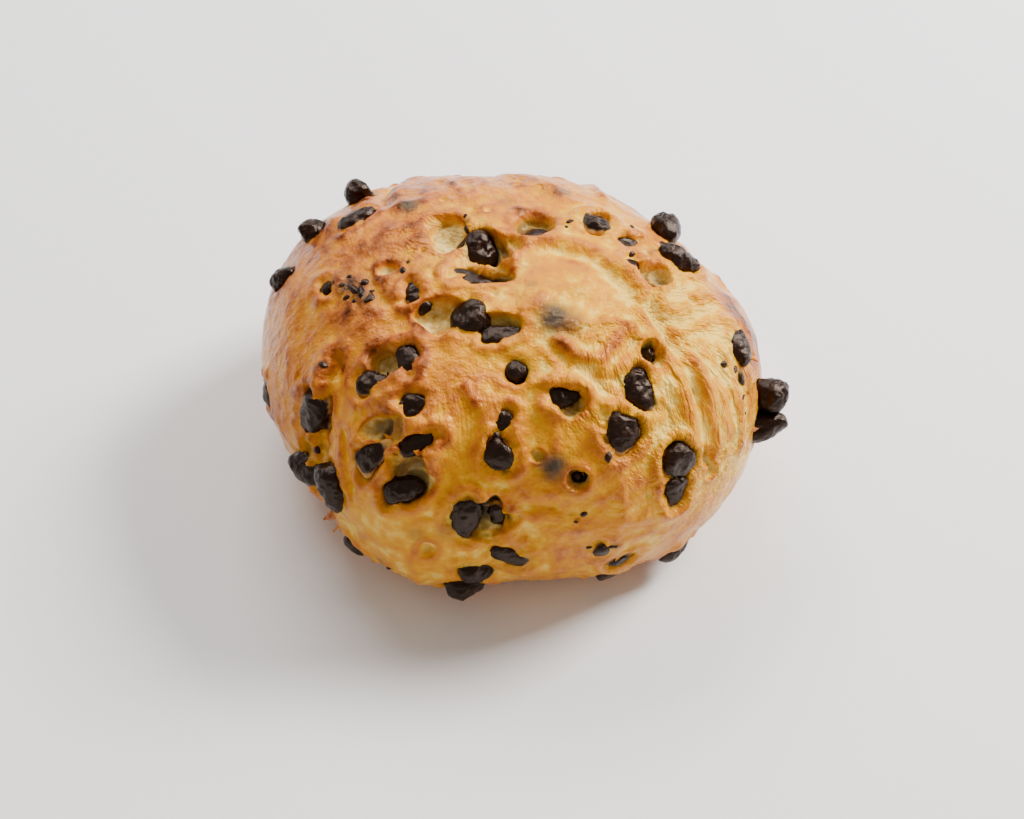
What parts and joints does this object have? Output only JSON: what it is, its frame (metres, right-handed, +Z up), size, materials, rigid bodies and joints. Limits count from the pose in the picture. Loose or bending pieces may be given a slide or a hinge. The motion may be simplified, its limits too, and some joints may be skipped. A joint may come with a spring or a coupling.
{
  "type": "chocolate chip brioche",
  "caption": "Round hand-folded brioche bun with a glossy egg-washed crust and chocolate chips set in it, resting on its flat underside.",
  "frame": {"origin": "middle of the flat underside, on the surface that the bun rests on", "axes": "+Z up to the crown, -Y to the front of the bun, +X to its right"},
  "size_m": [0.1281, 0.1138, 0.067],
  "materials": {
    "crust": "baked egg-washed crust, golden on top and browner at the sides, satin to glossy",
    "chocolate": "dark chocolate, satin, softened by baking"
  },
  "bodies": {
    "root": {"dough": "crust", "chocolate_chip_01": "chocolate", "chocolate_chip_02": "chocolate", "chocolate_chip_03": "chocolate", "chocolate_chip_04": "chocolate", "chocolate_chip_05": "chocolate", "chocolate_chip_06": "chocolate", "chocolate_chip_07": "chocolate", "chocolate_chip_08": "chocolate", "chocolate_chip_09": "chocolate", "chocolate_chip_10": "chocolate", "chocolate_chip_11": "chocolate", "chocolate_chip_12": "chocolate", "chocolate_chip_13": "chocolate", "chocolate_chip_14": "chocolate", "chocolate_chip_15": "chocolate", "chocolate_chip_16": "chocolate", "chocolate_chip_17": "chocolate", "chocolate_chip_18": "chocolate", "chocolate_chip_19": "chocolate", "chocolate_chip_20": "chocolate", "chocolate_chip_21": "chocolate", "chocolate_chip_22": "chocolate", "chocolate_chip_23": "chocolate", "chocolate_chip_24": "chocolate", "chocolate_chip_25": "chocolate", "chocolate_chip_26": "chocolate", "chocolate_chip_27": "chocolate", "chocolate_chip_28": "chocolate", "chocolate_chip_29": "chocolate", "chocolate_chip_30": "chocolate", "chocolate_chip_31": "chocolate", "chocolate_chip_32": "chocolate", "chocolate_chip_33": "chocolate", "chocolate_chip_34": "chocolate", "chocolate_chip_35": "chocolate", "chocolate_chip_36": "chocolate", "chocolate_chip_37": "chocolate", "chocolate_chip_38": "chocolate", "chocolate_chip_39": "chocolate", "chocolate_chip_40": "chocolate", "chocolate_chip_41": "chocolate", "chocolate_chip_42": "chocolate", "chocolate_chip_43": "chocolate", "chocolate_chip_44": "chocolate", "chocolate_chip_45": "chocolate", "chocolate_chip_46": "chocolate", "chocolate_chip_47": "chocolate", "chocolate_chip_48": "chocolate", "chocolate_chip_49": "chocolate", "chocolate_chip_50": "chocolate", "chocolate_chip_51": "chocolate", "chocolate_chip_52": "chocolate", "chocolate_chip_53": "chocolate", "chocolate_chip_54": "chocolate", "chocolate_chip_55": "chocolate", "chocolate_chip_56": "chocolate", "chocolate_chip_57": "chocolate", "chocolate_chip_58": "chocolate", "chocolate_chip_59": "chocolate"}
  },
  "joints": []
}
